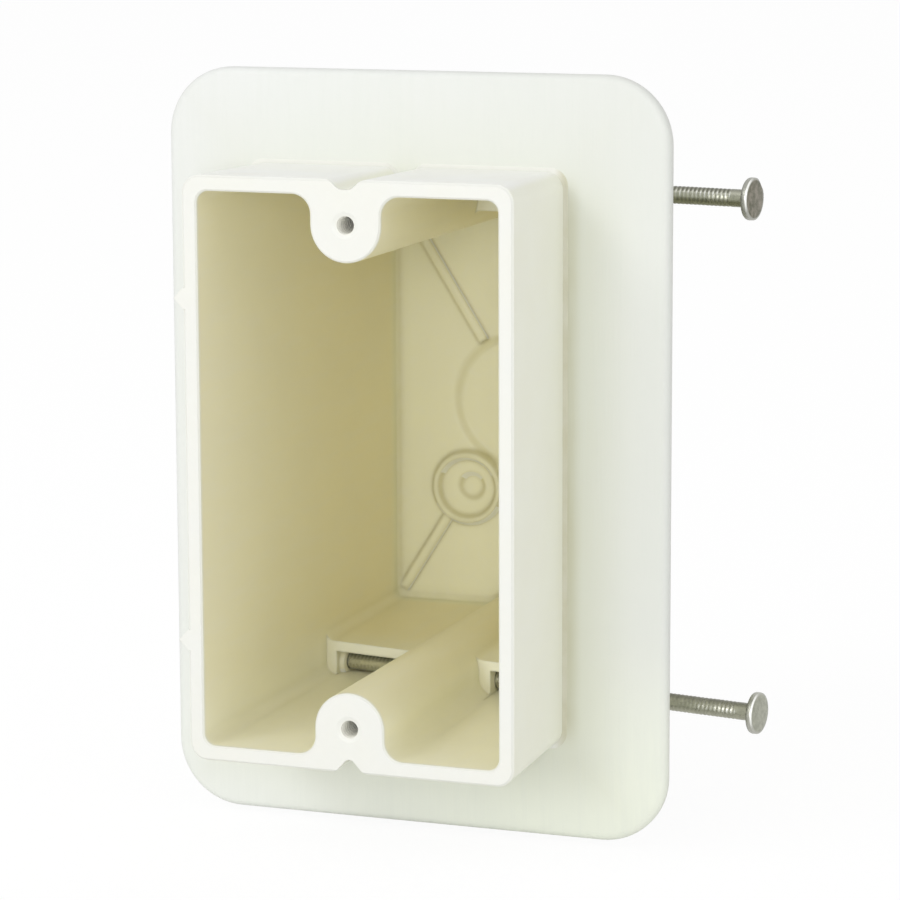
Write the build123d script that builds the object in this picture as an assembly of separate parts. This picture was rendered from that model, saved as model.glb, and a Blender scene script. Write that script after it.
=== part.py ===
from build123d import *
import math
import os

# One-gang moulded wall box with a sealing flange and two raked nails.
# Millimetres. X is right, Y is depth into the wall and Z is up.
# The origin is midway between the two device screws, in the rim plane.

# Device screws and their bosses
screw_spacing = 83.34
tapped_bore = 3.0
tapped_depth = 32.0
countersink_bore = 4.5
countersink_depth = 0.3
boss_radius = 6.1

# Moulded body
rim_width = 57.4
rim_height = 98.2
body_depth = 88.3
wall = 2.6
back_wall = 2.5
side_draft = 1.4
end_draft = 1.0
outer_corner = 3.0
inner_corner = 2.0
rim_chamfer = 0.4
mouth_chamfer = 0.3
boss_root = 3.2
floor_chamfer = 0.8
back_round = 2.0

# Grooves in the end walls behind the bosses
upper_groove_width = 5.6
upper_groove_floor = 2.2
upper_groove_depth = 1.65
lower_groove_width = 5.2
lower_groove_floor = 1.0
lower_groove_depth = 2.3
groove_shoulder = 2.2
groove_floor_share = 0.85
groove_middle_share = 0.75
groove_overlap = 0.04

# Ribs on the stud side, from the rim to the flange
stud_rib_pitch = 57.4
stud_rib_base = 3.6
stud_rib_height = 1.7

# Nails
nail_diameter = 3.05
nail_length = 85.7
nail_head_diameter = 7.2
nail_head_thickness = 1.1
nail_head_underside = 0.5
nail_point_length = 4.2
nail_point_flat = 0.4
upper_nail_reach = 56.8
lower_nail_reach = 58.7
nail_inset = 5.4
nail_depth = 51.1
nail_rake = 9.7
nail_clearance = 0.12

# Nail guards, the shelves inside that cover the nails
channel_clearance = 0.85
channel_half = 3.9
guard_thickness = 1.9
guard_slope = 2.0
guard_round = 1.5
side_leg = 2.1
boss_leg = 2.3
collar_length = 4.8
collar_root_radius = 3.6
collar_end_radius = 2.6

# Knockouts in the stepped rear ends
knockout_width = 12.5
knockout_length = 15.0
knockout_corner = 2.5
knockout_skin = 1.0
knockout_offset = 14.6
knockout_margin = 4.0

# Inner face of the back wall
dish_radius = 12.9
dish_depth = 0.9
dish_slope_width = 1.5
cross_rib_width = 2.1
cross_rib_height = 0.7
cross_rib_round = 0.55
cross_rib_margin = 2.0
ring_x = -10.1
ring_z = -16.7
ring_radius = 6.15
ring_foot_half = 1.05
ring_crest_half = 0.4
ring_height = 1.05
dimple_x = -9.4
dimple_z = -16.4
dimple_radius = 2.7
dimple_depth = 0.8
dimple_slope_width = 0.9

# Sealing flange
flange_setback = 27.3
flange_thickness = 2.4
flange_left = 43.2
flange_right = 46.2
flange_height = 129.3
flange_corner = 11.5
flange_front_round = 1.1
flange_back_chamfer = 0.4
bond_gap = 0.03

# Tolerances for picking out edges and corners
same_place = 0.01
along_share = 0.98

# Sizes that follow from the ones above
boss_level = screw_spacing / 2
inner_width = rim_width - 2 * wall
inner_height = rim_height - 2 * wall
inner_depth = body_depth - back_wall
side_slope = math.tan(math.radians(side_draft))
end_slope = math.tan(math.radians(end_draft))
rake_slope = math.tan(math.radians(nail_rake))
guard_rise = math.tan(math.radians(guard_slope))
nail_level = rim_height / 2 - nail_inset
channel_level = nail_level - nail_diameter / 2 - channel_clearance
guard_level = channel_level - guard_thickness
nail_aim = (math.cos(math.radians(nail_rake)), -math.sin(math.radians(nail_rake)), 0)
dish_taper = math.degrees(math.atan2(dish_slope_width, dish_depth))
dimple_taper = math.degrees(math.atan2(dimple_slope_width, dimple_depth))
far_past = 3 * rim_height
from_base = (Align.CENTER, Align.CENTER, Align.MIN)


def prism(points, plane, length):
    """A straight-sided outline, extruded both ways from a plane."""
    outline = make_face(Polyline(*points, close=True))
    return extrude(plane * outline, length / 2, both=True)


def drafted_block(width, height, depth):
    """A block that runs in from the rim and narrows with the mould draft."""
    far_x = width / 2 - side_slope * depth
    far_z = height / 2 - end_slope * depth
    plan = [(-width / 2, 0), (width / 2, 0), (far_x, depth), (-far_x, depth)]
    side = [(0, -height / 2), (depth, -far_z), (depth, far_z), (0, height / 2)]
    return prism(plan, Plane.XY, height) & prism(side, Plane.YZ, width)


def runs_inwards(edge):
    """True for an edge that runs from the rim towards the back wall."""
    return abs((edge @ 1 - edge @ 0).normalized().Y) > along_share


def rounded_block(width, height, depth, radius):
    """A drafted block whose four long corners are rounded."""
    block = drafted_block(width, height, depth)
    return fillet(block.edges().filter_by(runs_inwards), radius)


def past_level(level, rise, side, start=0, end=body_depth):
    """The space above (side 1) or below (side -1) a shelf that rises inwards."""
    near = level - rise * (start - nail_depth)
    far = level - rise * (end - nail_depth)
    points = [(start, near), (end, far), (end, rim_height), (start, rim_height)]
    return prism([(y, side * z) for y, z in points], Plane.YZ, far_past)


def raked_slab(near, far):
    """The space between two upright planes that run along the nails."""
    lean = rake_slope * rim_width
    points = [
        (-rim_width, nail_depth + near + lean),
        (rim_width, nail_depth + near - lean),
        (rim_width, nail_depth + far - lean),
        (-rim_width, nail_depth + far + lean),
    ]
    return prism(points, Plane.XY, far_past)


def boss_pillar(side):
    """One device-screw boss, round inside and running into the end wall."""
    root_height = rim_height / 2 - boss_level
    rim = Plane.XZ.offset(-inner_depth)
    crown = rim * Pos(0, side * boss_level) * Circle(boss_radius)
    root_centre = side * (boss_level + root_height / 2)
    root = rim * Pos(0, root_centre) * Rectangle(2 * boss_radius, root_height)
    return extrude(crown, inner_depth) + extrude(root, inner_depth)


def cavity():
    """The space inside the box: drafted, and narrowed by bosses and guards."""
    core = drafted_block(inner_width, inner_height, inner_depth)
    core -= boss_pillar(1) + boss_pillar(-1)
    long_edges = core.edges().filter_by(runs_inwards)
    corners = long_edges.filter_by(lambda e: abs(e.center().X) > 2 * boss_radius)
    core = fillet(corners, inner_corner)
    long_edges = core.edges().filter_by(runs_inwards)
    roots = long_edges.filter_by(lambda e: abs(e.center().Z) > boss_level + boss_root / 2)
    roots = roots.filter_by(lambda e: abs(e.center().X) < boss_radius + wall / 2)
    core = fillet(roots, boss_root)
    guards = raked_slab(-channel_half, 2 * body_depth)
    for side in (1, -1):
        core -= guards & past_level(guard_level, guard_rise, side)
    shelf = core.edges().filter_by(runs_inwards)
    shelf = shelf.filter_by(lambda e: e.center().Y > nail_depth + channel_half)
    shelf = shelf.filter_by(lambda e: abs(e.center().Z) > guard_level - wall)
    core = fillet(shelf, guard_round)
    floor = core.faces().sort_by(Axis.Y)[-1]
    return chamfer(floor.edges(), floor_chamfer)


def groove(side, width, floor_width, depth):
    """A groove with rounded shoulders along the outside of an end wall."""
    surface = side * (rim_height / 2 + groove_overlap)
    inner = side * (rim_height / 2 - depth)
    above = side * (rim_height / 2 + wall)
    points = [
        (-width, above),
        (-width, surface),
        (-width / 2, surface),
        (-floor_width / 2, inner),
        (floor_width / 2, inner),
        (width / 2, surface),
        (width, surface),
        (width, above),
    ]
    outline = make_face(Polyline(*points, close=True))
    shoulders = outline.vertices().filter_by(lambda v: abs(v.Y - surface) < same_place)
    shoulders = shoulders.filter_by(lambda v: abs(v.X) < groove_middle_share * width)
    outline = fillet(shoulders, groove_shoulder)
    bottoms = outline.vertices().filter_by(lambda v: abs(v.Y - inner) < same_place)
    outline = fillet(bottoms, groove_floor_share * floor_width)
    inwards = (0, 1, -side * end_slope)
    return extrude(Plane.XZ * outline, body_depth, dir=inwards)


def both_grooves(clearance):
    """The two grooves, or with a clearance the tongues that lie in them."""
    upper_width = upper_groove_width - 2 * clearance
    lower_width = lower_groove_width - 2 * clearance
    upper = groove(1, upper_width, upper_groove_floor, upper_groove_depth)
    lower = groove(-1, lower_width, lower_groove_floor, lower_groove_depth)
    return Pos(0, 0, clearance) * upper + Pos(0, 0, -clearance) * lower


def stud_rib(height):
    """A three-cornered rib on the stud side, from the rim to the flange."""
    side = -rim_width / 2
    points = [
        (side + wall / 2, height - stud_rib_base / 2),
        (side, height - stud_rib_base / 2),
        (side - stud_rib_height, height),
        (side, height + stud_rib_base / 2),
        (side + wall / 2, height + stud_rib_base / 2),
    ]
    outline = make_face(Polyline(*points, close=True))
    length = flange_setback - bond_gap
    return extrude(Plane.XZ * outline, length, dir=(side_slope, 1, 0))


def outside():
    """The outer form of the box, with its grooves and stepped ends."""
    block = rounded_block(rim_width, rim_height, body_depth, outer_corner)
    block = chamfer(block.faces().sort_by(Axis.Y)[0].edges(), rim_chamfer)
    behind_nails = raked_slab(channel_half + wall, 2 * body_depth)
    for side in (1, -1):
        block -= behind_nails & past_level(guard_level + wall, guard_rise, side)
    back = block.faces().sort_by(Axis.Y)[-1]
    block = fillet(back.edges(), back_round)
    return block - both_grooves(0)


def nail_line(side):
    """The plane across a nail where its axis crosses the middle of the box."""
    return Plane(origin=(0, nail_depth, side * nail_level), x_dir=(0, 0, 1), z_dir=nail_aim)


def channels(side):
    """The two channels under a guard, each with a collar for a nail's tip side."""
    space = rounded_block(inner_width, inner_height, inner_depth, inner_corner)
    space &= raked_slab(-2 * channel_half, channel_half)
    space &= past_level(channel_level, 0, side)
    space &= drafted_block(inner_width - 2 * side_leg, far_past, inner_depth)
    return space - Box(2 * (boss_radius + boss_leg), far_past, far_past)


def collar(side):
    """The cone inside the stud-side wall that steers a nail's point."""
    root_distance = -inner_width / 2 / nail_aim[0]
    start = nail_line(side).offset(root_distance)
    return start * Cone(collar_root_radius, collar_end_radius, collar_length, align=from_base)


def nail_bore(side):
    """The hole that a nail is pushed through, from wall to wall."""
    return nail_line(side) * Cylinder(nail_diameter / 2 + nail_clearance, 2 * rim_width)


def screw_hole(side):
    """A tapped hole for a device screw, with its countersink."""
    mouth = Plane(origin=(0, 0, side * boss_level), x_dir=(1, 0, 0), z_dir=(0, 1, 0))
    bore = Cylinder(tapped_bore / 2, tapped_depth, align=from_base)
    sink = Cone(countersink_bore / 2, tapped_bore / 2, countersink_depth, align=from_base)
    return mouth * (bore + sink)


def knockout(side, across):
    """A thin place in a stepped rear end, opened for a cable."""
    length_centre = body_depth - knockout_margin - knockout_length / 2
    level = guard_level + knockout_skin - guard_rise * (length_centre - nail_depth)
    place = Plane(origin=(across, length_centre, side * level), x_dir=(1, 0, 0), z_dir=(0, 0, side))
    outline = RectangleRounded(knockout_width, knockout_length, knockout_corner)
    return extrude(place * outline, rim_height)


def ring_ridge():
    """The ring's low ridge, with sloping flanks and a flat crest."""
    profile = [
        (ring_radius - ring_foot_half, 0),
        (ring_radius - ring_crest_half, ring_height),
        (ring_radius + ring_crest_half, ring_height),
        (ring_radius + ring_foot_half, 0),
    ]
    outline = make_face(Polyline(*profile, close=True))
    return revolve(Plane.XZ * outline, Axis.Z)


def back_wall_relief():
    """The raised ribs and ring on the inner face of the back wall."""
    face = Plane.XZ.offset(-inner_depth)
    far_x = inner_width / 2 - side_slope * inner_depth
    far_z = guard_level - guard_rise * (inner_depth - nail_depth)
    lean = math.degrees(math.atan2(far_z, far_x))
    reach = 2 * (math.hypot(far_x, far_z) - cross_rib_margin)
    rib = Box(reach, cross_rib_width, 2 * cross_rib_height)
    rib = fillet(rib.edges().filter_by(Axis.X).group_by(Axis.Z)[-1], cross_rib_round)
    cross = Rot(0, 0, lean) * rib + Rot(0, 0, -lean) * rib
    cross -= Cylinder(dish_radius, 2 * back_wall)
    centre = Pos(ring_x, ring_z)
    cross -= centre * Cylinder(ring_radius, 2 * back_wall)
    return face * (cross + centre * ring_ridge())


def back_wall_hollows():
    """The shallow dish and the dimple on the inner face of the back wall."""
    face = Plane.XZ.offset(-inner_depth)
    dish = extrude(Circle(dish_radius), -dish_depth, taper=dish_taper)
    dish -= Pos(ring_x, ring_z) * Cylinder(ring_radius + ring_foot_half, 2 * back_wall)
    dimple = extrude(Circle(dimple_radius), -dimple_depth, taper=dimple_taper)
    return face * (dish + Pos(dimple_x, dimple_z) * dimple)


def box_body():
    """The moulded box, one piece."""
    body = outside() - cavity()
    rim = body.faces().sort_by(Axis.Y)[0]
    body = chamfer(rim.inner_wires()[0].edges(), mouth_chamfer)
    for side in (1, -1):
        body += stud_rib(side * stud_rib_pitch / 2)
        body -= channels(side) - collar(side)
        body -= nail_bore(side)
        body -= screw_hole(side)
        for across in (-knockout_offset, knockout_offset):
            body -= knockout(side, across)
    body += back_wall_relief()
    body -= back_wall_hollows()
    return body


def sealing_flange():
    """The flat plate bonded round the box, against the stud and the wall board."""
    width = flange_left + flange_right
    middle = (flange_right - flange_left) / 2
    outline = Pos(middle, 0) * RectangleRounded(width, flange_height, flange_corner)
    plate = extrude(Plane.XZ.offset(-flange_setback) * outline, -flange_thickness)
    plate = fillet(plate.faces().sort_by(Axis.Y)[0].edges(), flange_front_round)
    plate = chamfer(plate.faces().sort_by(Axis.Y)[-1].edges(), flange_back_chamfer)
    hole_width = rim_width + 2 * bond_gap
    hole_height = rim_height + 2 * bond_gap
    hole = rounded_block(hole_width, hole_height, body_depth, outer_corner + bond_gap)
    return plate - (hole - both_grooves(bond_gap))


def nail(side, reach):
    """A round steel nail with a flat head and a tapered point."""
    shank = nail_diameter / 2
    head = nail_head_diameter / 2
    top = reach / nail_aim[0]
    under = top - nail_head_thickness
    profile = [
        (0, top - nail_length),
        (nail_point_flat / 2, top - nail_length),
        (shank, top - nail_length + nail_point_length),
        (shank, under - nail_head_underside),
        (shank + nail_head_underside, under),
        (head, under),
        (head, top),
        (0, top),
    ]
    outline = make_face(Polyline(*profile, close=True))
    blank = revolve(Plane.XZ * outline, Axis.Z)
    return nail_line(side) * blank


def main():
    parts = {
        "box_body": box_body(),
        "sealing_flange": sealing_flange(),
        "nail_upper": nail(1, upper_nail_reach),
        "nail_lower": nail(-1, lower_nail_reach),
    }
    os.makedirs("parts", exist_ok=True)
    for name, shape in parts.items():
        export_step(shape, f"parts/{name}.step")


main()
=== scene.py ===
import bpy
import bmesh
import math
from mathutils import Matrix, Vector, noise


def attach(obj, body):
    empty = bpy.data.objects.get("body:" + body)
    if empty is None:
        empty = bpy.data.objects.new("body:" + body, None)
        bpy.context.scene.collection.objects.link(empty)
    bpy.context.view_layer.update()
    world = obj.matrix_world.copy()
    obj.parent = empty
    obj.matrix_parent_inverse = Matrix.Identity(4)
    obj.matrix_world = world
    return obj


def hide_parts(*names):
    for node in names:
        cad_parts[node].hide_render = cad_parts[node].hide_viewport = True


# A deep one-gang moulded wall box with a white sealing flange and two raked nails.
# Metres. X is right, Y is depth into the wall and Z is up, as in the solids.

MM = 0.001
BODY = "root"

# How near points are that count as one, and how flat an edge is that is shaded smooth
MERGE_DISTANCE = 0.001 * MM
SAME_PLACE = 0.01 * MM
SMOOTH_ANGLE = math.radians(35)

# Which side of the box's middle each nail and each device-screw hole is on
SIDES = {"upper": 1, "lower": -1}

# Nails: their line through the box, and their drawn details
NAIL_RAKE = math.radians(9.7)
NAIL_LEVEL = 43.7 * MM
NAIL_DEPTH = 51.1 * MM
NAIL_REACH = {"upper": 56.8 * MM, "lower": 58.7 * MM}
NAIL_LENGTH = 85.7 * MM
SHANK_RADIUS = 1.525 * MM
HEAD_RADIUS = 3.6 * MM
HEAD_THICKNESS = 1.35 * MM
HEAD_ROUND = 0.24 * MM
HEAD_CROWN = 0.12 * MM
HEAD_THROAT = 0.5 * MM
HEAD_UNDERSIDE = 0.1 * MM
HEAD_TAPER = 0.02 * MM
HEAD_FLAT = (0.74, 0.67)
HEAD_FLAT_REACH = {"upper": 3.15 * MM, "lower": 3.6 * MM}
POINT_LENGTH = 4.2 * MM
POINT_FLAT = 0.2 * MM
GRIP_PITCH = 0.76 * MM
GRIP_DEPTH = 0.09 * MM
GRIP_START = 2.7 * MM
GRIP_COUNT = 34
GRIP_CREST = 0.8
NAIL_SEGMENTS = 48
NAIL_SMOOTH_ANGLE = math.radians(50)

# One grip mark, from its lower crest to its upper one, in shares of its pitch and its depth
GRIP_SECTION = [(0, 0), (0.22, 1), (0.45, 0.6), (0.7, 0)]
GRIP_MEAN_SHARE = 0.75
GRIP_UNEVEN_SHARE = 0.5
GRIP_NOISE_STEP = 3.7
GRIP_NOISE_ROW = 1.3
GRIP_NOISE_SCALE = 900

# How uneven the nails are: the depth of their dents, and the scale of the pattern they follow
COARSE_DENT = 0.022 * MM
COARSE_DENT_SCALE = 330
FINE_DENT = 0.008 * MM
FINE_DENT_SCALE = 1500
DENT_SEED = 11.0
DENT_CLEAR_RADIUS = 0.1 * MM

# Device-screw holes: their thread
SCREW_LEVEL = 41.67 * MM
BORE_RADIUS = 1.5 * MM
BORE_END = 38 * MM
BORE_WALL = (1.53 * MM, 1.6 * MM)
THREAD_PITCH = 0.794 * MM
THREAD_CREST = 1.37 * MM
THREAD_FLAT = 0.1 * MM
THREAD_START = 0.32 * MM
THREAD_ROOT_OVERLAP = 0.03 * MM
THREAD_TURNS = 36
THREAD_STEPS = 28

# The hollow: where its walls end across, at the ends, behind the nail guards and at the back
HOLLOW_HALF_WIDTH = 26.3 * MM
HOLLOW_HALF_HEIGHT = 46.9 * MM
HOLLOW_BACK = 87.0 * MM
GUARD_REAR = 56.5 * MM
GUARD_STEP = 5.2 * MM
GUARD_RISE = 0.0349

# Bead of sealant between flange and box: its section, outwards and forwards, in radii
FLANGE_FRONT = 27.3 * MM
BEAD_RADIUS = 0.8 * MM
BEAD_CORNER = math.radians(40)
BEAD_SMOOTH_ANGLE = math.radians(70)
BOX_HALF_WIDTH = 28.7 * MM
BOX_HALF_HEIGHT = 49.1 * MM
BOX_HALF_WIDTH_AT_FLANGE = 28.0 * MM
BOX_HALF_HEIGHT_AT_FLANGE = 48.6 * MM
BEAD_SECTION = [(-0.12, -0.1), (-0.12, 1.0), (0.12, 0.62), (0.35, 0.35), (0.62, 0.12), (1.0, -0.1)]

# Colours, linear
IVORY = (0.91, 0.915, 0.80, 1.0)
# Painted light: the outer top face is lighter, as light falls from above
IVORY_TOP_PAINTED_LIGHT = (0.96, 0.965, 0.93, 1.0)
# Painted light: the rim's front face is whiter and dimmer than the moulding, for the strong front
# light on it
IVORY_RIM_PAINTED_LIGHT = (0.82, 0.825, 0.78, 1.0)
# Painted light in the hollow: warm walls and a greener back stand in for light bounced inside and
# shining through the walls; the floor and shelf are lighter as light falls from above
IVORY_DEEP_PAINTED_BOUNCE = (0.925, 0.885, 0.645, 1.0)
IVORY_WARM_PAINTED_BOUNCE = (0.94, 0.875, 0.59, 1.0)
IVORY_BACK_PAINTED_BOUNCE = (0.925, 0.91, 0.675, 1.0)
IVORY_LOW_PAINTED_LIGHT = (0.96, 0.935, 0.72, 1.0)
IVORY_SHELF_PAINTED_LIGHT = (0.97, 0.90, 0.60, 1.0)
# Painted shade on the slopes of the relief on the back wall
IVORY_SLOPE_PAINTED_SHADE = (0.69, 0.65, 0.39, 1.0)
# Painted light: the guards' lips, which face the opening, are lighter
IVORY_LIP_PAINTED_LIGHT = (0.96, 0.955, 0.80, 1.0)
IVORY_CLOUD = (0.85, 0.83, 0.68, 1.0)
IVORY_PALE = (0.89, 0.89, 0.85, 1.0)
# Painted shade in corners and at the feet of ribs
IVORY_CREVICE_PAINTED_SHADE = (0.72, 0.68, 0.45, 1.0)
# Painted light: the screw holes' walls are brighter, as if lit deep inside
IVORY_BORE_PAINTED_LIGHT = (0.95, 0.945, 0.88, 1.0)
FLANGE_WHITE = (0.795, 0.808, 0.785, 1.0)
FLANGE_SHADE = (0.73, 0.76, 0.705, 1.0)
# Painted shade on the flange's rounded edges
FLANGE_EDGE_PAINTED_SHADE = (0.78, 0.785, 0.71, 1.0)
# Painted shade: the flange darkens towards the right, in the box's shade
FLANGE_FAR_PAINTED_SHADE = (0.76, 0.775, 0.735, 1.0)
# Painted light: the flange's foot is lighter
FLANGE_LOW_PAINTED_LIGHT = (0.87, 0.90, 0.785, 1.0)
# Painted shade and warm bounced light beside the box
FLANGE_NEAR_PAINTED_SHADE = (0.70, 0.715, 0.59, 1.0)
# Painted shadow in the corner between the flange and the box's right side
FLANGE_CORNER_PAINTED_SHADOW = (0.56, 0.55, 0.40, 1.0)
# Painted shade: the bead's tone on the right of the box
SEALANT_PAINTED_SHADE = (0.585, 0.57, 0.42, 1.0)
SEALANT_PALE = (0.80, 0.80, 0.74, 1.0)
# The steel's dull patches, and painted shade along the shank's top, low down, in the notches and under
# the head
STEEL_DULL_AND_SHADE = (0.13, 0.13, 0.10, 1.0)
# Painted reflection: the shank is paler inside the box, where it mirrors the ivory walls
STEEL_WITHIN_PAINTED_REFLECTION = (0.82, 0.82, 0.78, 1.0)
# Painted highlight: glints on the grip crests and a bright rim on the heads
STEEL_PAINTED_HIGHLIGHT = (0.95, 0.95, 0.91, 1.0)

# The two nails' tones, with painted shade low on the shank and in the notches, and where the painted
# glints on their grip crests start and lie
NAIL_TONES = {
    "upper": {
        "shank": (0.56, 0.56, 0.46, 1.0), "low": (0.235, 0.235, 0.15, 1.0),
        "face": (0.27, 0.245, 0.20, 1.0), "face_patch": (0.125, 0.125, 0.085, 1.0),
        "side": (0.37, 0.37, 0.33, 1.0), "glints_from": 10 * MM, "glint_level": 0.34,
        "glint_width": 0.5, "notch_shade": 0.8,
    },
    "lower": {
        "shank": (0.56, 0.555, 0.465, 1.0), "low": (0.37, 0.37, 0.285, 1.0),
        "face": (0.41, 0.415, 0.34, 1.0), "face_patch": (0.31, 0.315, 0.255, 1.0),
        "side": (0.43, 0.43, 0.38, 1.0), "glints_from": 46 * MM, "glint_level": 0.12,
        "glint_width": 0.34, "notch_shade": 0.25,
    },
}

# How far edges look rounded, and how near a wall must be to shade a corner
RIM_SOFTNESS = 0.14 * MM
WALL_SOFTNESS = 0.6 * MM
BACK_SOFTNESS = 1.3 * MM
FLANGE_SOFTNESS = 1.2 * MM
STEEL_SOFTNESS = 0.2 * MM
CREVICE_REACH = 3.0 * MM
CREVICE_SHADE_SHARE = 0.6
# How strongly the back wall's sloping relief is painted shaded
SLOPE_SHADE_SHARE = 0.95
MASK_SAMPLES = 4

# Each finish: the scales of its patterns, their shares in its colour and relief, its gloss
GRAIN_RANGE = (0.3, 0.7)
SCUFF_RANGE = (0.42, 0.68)
IVORY_GRAIN = {"Cloud Scale": 75.0, "Grain Scale": 2600.0}
IVORY_FLOW = {"Stretch": (1.0, 0.16, 1.0), "Scale": 520.0}
IVORY_CLOUD_SHARE = 0.16
IVORY_STREAK_SHARE = 0.10
# Outer edges are paler, partly from wear and partly as a painted highlight
IVORY_WEAR_AND_HIGHLIGHT_SHARE = 0.35
IVORY_ROUGHNESS = (0.38, 0.50)
IVORY_SPECULAR = 0.42
IVORY_GRAIN_HEIGHT = 0.5
IVORY_FLOW_HEIGHT = 0.35
IVORY_RELIEF = 0.03 * MM
IVORY_RELIEF_STRENGTH = 0.6
FLANGE_GRAIN = {"Cloud Scale": 38.0, "Grain Scale": 2200.0}
FLANGE_DRAG = {"Stretch": (1.0, 1.0, 0.05), "Scale": 900.0}
FLANGE_LINE_SHARE = 0.14
FLANGE_CLOUD_SHARE = 0.25
# Share of painted shade on the flange's rounded edges
FLANGE_EDGE_SHADE_SHARE = 0.5
FLANGE_ROUGHNESS = (0.40, 0.55)
FLANGE_SPECULAR = 0.35
FLANGE_RELIEF = 0.02 * MM
FLANGE_RELIEF_STRENGTH = 0.5
SEALANT_GRAIN = {"Cloud Scale": 160.0, "Grain Scale": 900.0}
SEALANT_CLOUD_SHARE = 0.25
SEALANT_ROUGHNESS = (0.45, 0.65)
STEEL_GRAIN = {"Cloud Scale": 900.0, "Grain Scale": 5200.0}
STEEL_DULL_SHARE = 0.22
STEEL_ROUGHNESS = (0.26, 0.42)
STEEL_POLISH = 0.12
STEEL_RELIEF = 0.03 * MM
STEEL_RELIEF_STRENGTH = 0.7

# Camera, as the photograph was taken
PICTURE_PIXELS = 900
FOCAL_PIXELS = 3663.66
SENSOR_WIDTH = 36.0
CAMERA_PLACE = (218.585 * MM, -543.939 * MM, 107.582 * MM)
CAMERA_YAW = math.radians(20.251)
CAMERA_PITCH = math.radians(9.926)
CAMERA_ROLL = math.radians(0.208)
CAMERA_NEAREST = 0.01
CAMERA_FARTHEST = 50

# Ranges over which the masks fade, as depths, heights and widths in the box; most of these masks place
# painted light and shade
RIM_FACE = (0.1 * MM, 0.6 * MM)
RIM_TO_WALL = (0.12 * MM, 1.3 * MM)
RIM_SHARPNESS_END = (1.5 * MM, 4.0 * MM)
BACK_SHARPNESS_END = (80 * MM, 84 * MM)
TOP_FACE = (47.8 * MM, 48.8 * MM)
LOW_DOWN = (-44 * MM, -34 * MM)
WALL_DEEPENING = (10 * MM, 70 * MM)
SHELF_FRONT = (50 * MM, 60 * MM)
LIPS_END = (58 * MM, 62 * MM)
BACK_WALL = (81 * MM, 85 * MM)
BACK_RELIEF_SIDES = (23.2 * MM, 24.2 * MM)
BACK_RELIEF_ENDS = (36.5 * MM, 38.0 * MM)
FLANGE_ACROSS = (-30 * MM, 45 * MM)
FLANGE_FOOT = (-60 * MM, -25 * MM)
FLANGE_FOOT_ACROSS = (-35 * MM, 40 * MM)
FLANGE_TOP = (38 * MM, 52 * MM)
NEAR_BOX = (0, 15 * MM)
CORNER_SHADOW_BAND = (0.4 * MM, 3.6 * MM)
CORNER_SHADOW_ENDS = (43 * MM, 50 * MM)
CORNER_SHADOW_SIDE = (26 * MM, 29 * MM)
FLANGE_FOOT_LEAST = 0.25
FLANGE_TOP_SHARE = 0.35
NEAR_BOX_SHARE = 0.75
CORNER_SHADOW_SHARE = 0.95
SEALANT_SHADED_SIDE = (26 * MM, 28.5 * MM)

# How far a surface faces backwards or out through an end, faces the opening, and lies open
FACING_AWAY = 0.4
FACING_FRONT = (-0.97, -0.8)
FACING_SLOPE = (-0.99, -0.72)
SHELTERED = (0.45, 0.98)
SAME_DIRECTION = (0.86, 0.99)

# The shank's painted shade, painted reflection and painted glints: levels in radii above its middle
# line, widths in pitches of its marks
SHANK_LOW = (-0.45, 0.05)
SHANK_TOP = (0.5, 0.95)
SHANK_TOP_SHADE_SHARE = 0.75
SHANK_WITHIN = (24 * MM, 30 * MM)
SHANK_REFLECTION_SHARE = 0.7
NOTCH_WIDTH = (0.22, 0.42)
UPPER_NOTCHES = (0.45, 0.65)
MIDDLE_NOTCH_LEVEL = -0.28
MIDDLE_NOTCHES = (0.10, 0.30)
MIDDLE_NOTCH_SHARE = 0.6
CREST_WIDTH = (0.10, 0.26)
GLINT_CORE = 0.10
GLINT_FADE = 3 * MM
GLINT_PATCHES = (0.2, 0.7)
GLINT_LEAST = 0.35

# The head's tones, its painted shade underneath and its painted highlight on the rim: how far in from
# its edge and down from its top each of them starts
HEAD_BLEND_START = 0.1 * MM
HEAD_BLEND = 0.15 * MM
HEAD_FACE_EDGE = 0.55 * MM
HEAD_FACE_FADE = 0.2 * MM
HEAD_RIM_EDGE = 0.32 * MM
HEAD_RIM_DEPTH = 0.42 * MM
HEAD_RIM_FADE = 0.1 * MM
HEAD_HIGHLIGHT_LEAST = 0.1
HEAD_UNDER_SHADE_SHARE = 0.9
HEAD_UNDER_FADE = 0.4 * HEAD_THICKNESS
HEAD_LIGHT_SLANT = 0.45

# Studio
FLOOR_LEVEL = -65.5 * MM
FLOOR_SIZE = 14.0
FLOOR_WHITE = (0.93, 0.93, 0.93, 1.0)
FLOOR_ROUGHNESS = 0.9
FLOOR_SEEN_GLOW = 0.88
FLOOR_GLOW_LEVEL = 1.03
AMBIENT = 0.69
SEEN_WHITE = 1.0
LAMPS = {
    "front": {"place": (0.573, -1.999, 0.292), "size": 0.5, "power": 7.6},
    "front_left": {"place": (-0.424, -1.993, 0.508), "size": 0.7, "power": 5.2},
    "high_left": {"place": (-1.064, -1.268, 1.293), "size": 0.8, "power": 6.5},
    "right": {"place": (1.959, -0.525, 0.544), "size": 0.9, "power": 2.2},
}


def new_material(name):
    """A material with a bare Principled surface, and the handles to build on it."""
    material = bpy.data.materials.new(name)
    material.use_nodes = True
    nodes = material.node_tree.nodes
    links = material.node_tree.links
    surface = nodes["Principled BSDF"]
    return material, nodes, links, surface


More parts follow.
